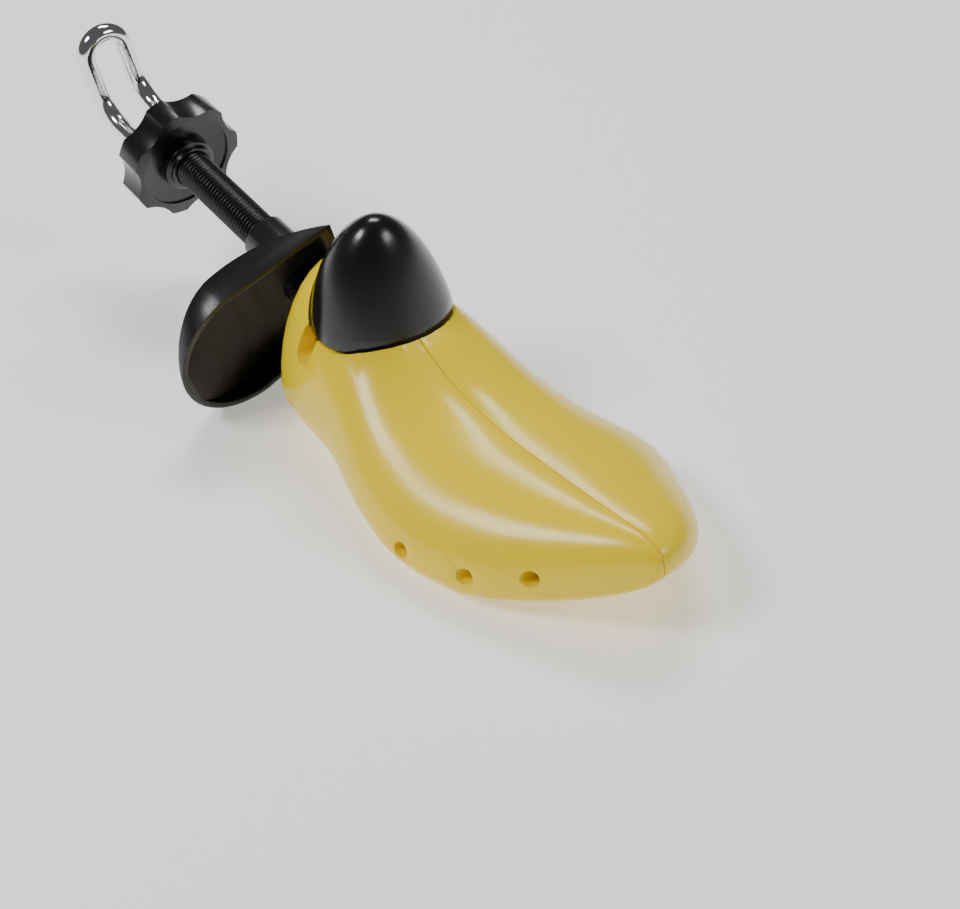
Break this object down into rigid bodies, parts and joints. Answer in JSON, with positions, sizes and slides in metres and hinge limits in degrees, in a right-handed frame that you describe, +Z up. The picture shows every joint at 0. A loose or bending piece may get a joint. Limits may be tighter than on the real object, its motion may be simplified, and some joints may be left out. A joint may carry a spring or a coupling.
{
  "type": "shoe stretcher",
  "caption": "Expanding shoe stretcher: split hollow last that spreads by a wedge, instep cap, threaded tube with lobed knob, sliding heel piece and bent wire handle.",
  "frame": {"origin": "on the ground under the middle of the bounding box", "axes": "+X towards the toe, +Y to the stretcher's left, +Z up; the split and the working axis lie in a plane parallel to XZ"},
  "size_m": [0.305, 0.1102, 0.0938],
  "materials": {
    "yellow_plastic": "gloss",
    "black_plastic": "satin",
    "gloss_black": "gloss",
    "chrome": "polished",
    "steel": "satin",
    "brass": "satin"
  },
  "bodies": {
    "carrier": {"carrier_block": "black_plastic", "front_guide_block": "black_plastic", "spine_rod_left": "steel", "spine_rod_right": "steel", "instep_cap": "gloss_black", "cap_post": "black_plastic"},
    "handle": {"hook_handle": "chrome", "handle_hub": "chrome", "pull_rod": "steel", "thrust_collar": "steel", "end_nut": "steel"},
    "wedge": {"wedge_nut": "black_plastic"},
    "left": {"last_half_left": "yellow_plastic", "ramp_left": "black_plastic", "low_post_left": "steel", "front_post_upper_left": "steel", "front_post_lower_left": "steel", "side_screw_left": "brass"},
    "right": {"last_half_right": "yellow_plastic", "ramp_right": "black_plastic", "low_post_right": "steel", "front_post_upper_right": "steel", "front_post_lower_right": "steel", "side_screw_right": "brass"},
    "screw": {"length_screw": "black_plastic", "length_knob": "gloss_black", "knob_collar": "gloss_black", "screw_retainer": "steel"},
    "heel": {"heel_plate": "black_plastic"}
  },
  "joints": [
    {"name": "handle_turn", "type": "hinge", "parent": "carrier", "child": "handle", "pos_m": [-0.02552, 0.00304, 0.03959], "axis": [-0.9877, 0, 0.1564], "range_deg": [0, 2880]},
    {"name": "wedge_draw", "type": "slide", "parent": "carrier", "child": "wedge", "axis": [-0.9877, 0, 0.1564], "range_m": [0, 0.0201]},
    {"name": "spread_left", "type": "slide", "parent": "carrier", "child": "left", "axis": [0, 1, 0], "range_m": [0, 0.00805]},
    {"name": "spread_right", "type": "slide", "parent": "carrier", "child": "right", "axis": [0, -1, 0], "range_m": [0, 0.00805]},
    {"name": "length_turn", "type": "hinge", "parent": "carrier", "child": "screw", "pos_m": [-0.02552, 0.00304, 0.03959], "axis": [-0.9877, 0, 0.1564], "range_deg": [-360, 8640]},
    {"name": "heel_slide", "type": "slide", "parent": "carrier", "child": "heel", "axis": [-0.9877, 0, 0.1564], "range_m": [-0.00165, 0.0385]}
  ],
  "couplings": [
    {"joint": "wedge_draw", "follows": "handle_turn", "m_per_rad": 0.00039789},
    {"joint": "spread_left", "follows": "handle_turn", "m_per_rad": 0.00015915},
    {"joint": "spread_right", "follows": "handle_turn", "m_per_rad": 0.00015915},
    {"joint": "heel_slide", "follows": "length_turn", "m_per_rad": 0.00025465}
  ]
}
